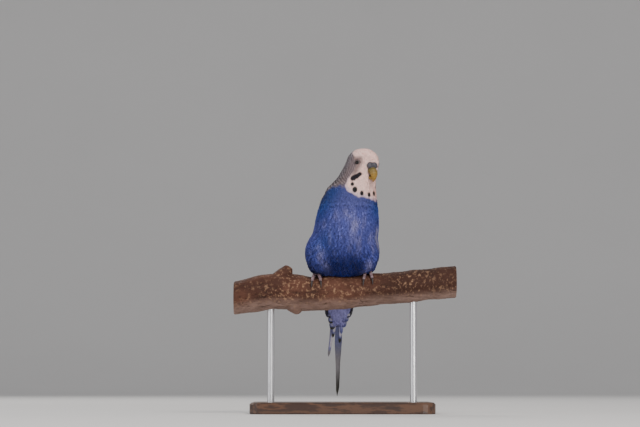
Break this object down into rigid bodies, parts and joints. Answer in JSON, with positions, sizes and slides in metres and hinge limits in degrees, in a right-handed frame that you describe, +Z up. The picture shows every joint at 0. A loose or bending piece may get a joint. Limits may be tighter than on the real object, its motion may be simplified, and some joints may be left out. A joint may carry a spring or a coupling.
{
  "type": "perched budgerigar model",
  "caption": "Life-size still budgerigar with violet-blue body, white face, folded barred wings and long tail, gripping a cut branch on a plain rod stand.",
  "frame": {"origin": "middle of the underside of the display base, on the floor it stands on", "axes": "+Z up from the floor to the crown, -Y the way the bird's breast faces, +X towards the bird's left"},
  "size_m": [0.156, 0.104, 0.1848],
  "materials": {
    "feathers_blue": "soft violet-blue body plumage with a fine pale edge to each feather",
    "feathers_white": "short white face and crown feathers",
    "feathers_barred": "white feathers with fine dark bars over nape, cheeks and mantle",
    "wing_feathers": "dark grey-brown vanes with white edges",
    "tail_feathers": "dark blue-grey vanes, paler at the sides",
    "cere": "smooth blue-grey skin",
    "bill": "horn, olive-yellow, satin",
    "eye": "wet black",
    "foot_skin": "scaly skin, pinkish grey",
    "claw": "dark horn, satin",
    "bark": "rough brown bark with pale flecks",
    "stand_wood": "dark stained wood, satin",
    "stand_metal": "bare steel rod"
  },
  "bodies": {
    "root": {"head": "feathers_white", "neck": "feathers_barred", "torso": "feathers_blue", "rump": "feathers_blue", "tail": "tail_feathers", "thigh_left": "feathers_blue", "thigh_right": "feathers_blue", "wing_left": "wing_feathers", "wing_right": "wing_feathers", "foot_left": "foot_skin", "foot_right": "foot_skin", "eye_left": "eye", "eye_right": "eye", "cere": "cere", "bill_upper": "bill", "bill_lower": "bill", "perch": "bark", "stand_base": "stand_wood", "stand_rod_left": "stand_metal", "stand_rod_right": "stand_metal", "toe_left_front_inner": "foot_skin", "claw_left_front_inner": "claw", "toe_left_front_outer": "foot_skin", "claw_left_front_outer": "claw", "toe_left_back_inner": "foot_skin", "claw_left_back_inner": "claw", "toe_left_back_outer": "foot_skin", "claw_left_back_outer": "claw", "toe_right_front_inner": "foot_skin", "claw_right_front_inner": "claw", "toe_right_front_outer": "foot_skin", "claw_right_front_outer": "claw", "toe_right_back_inner": "foot_skin", "claw_right_back_inner": "claw", "toe_right_back_outer": "foot_skin", "claw_right_back_outer": "claw"}
  },
  "joints": []
}
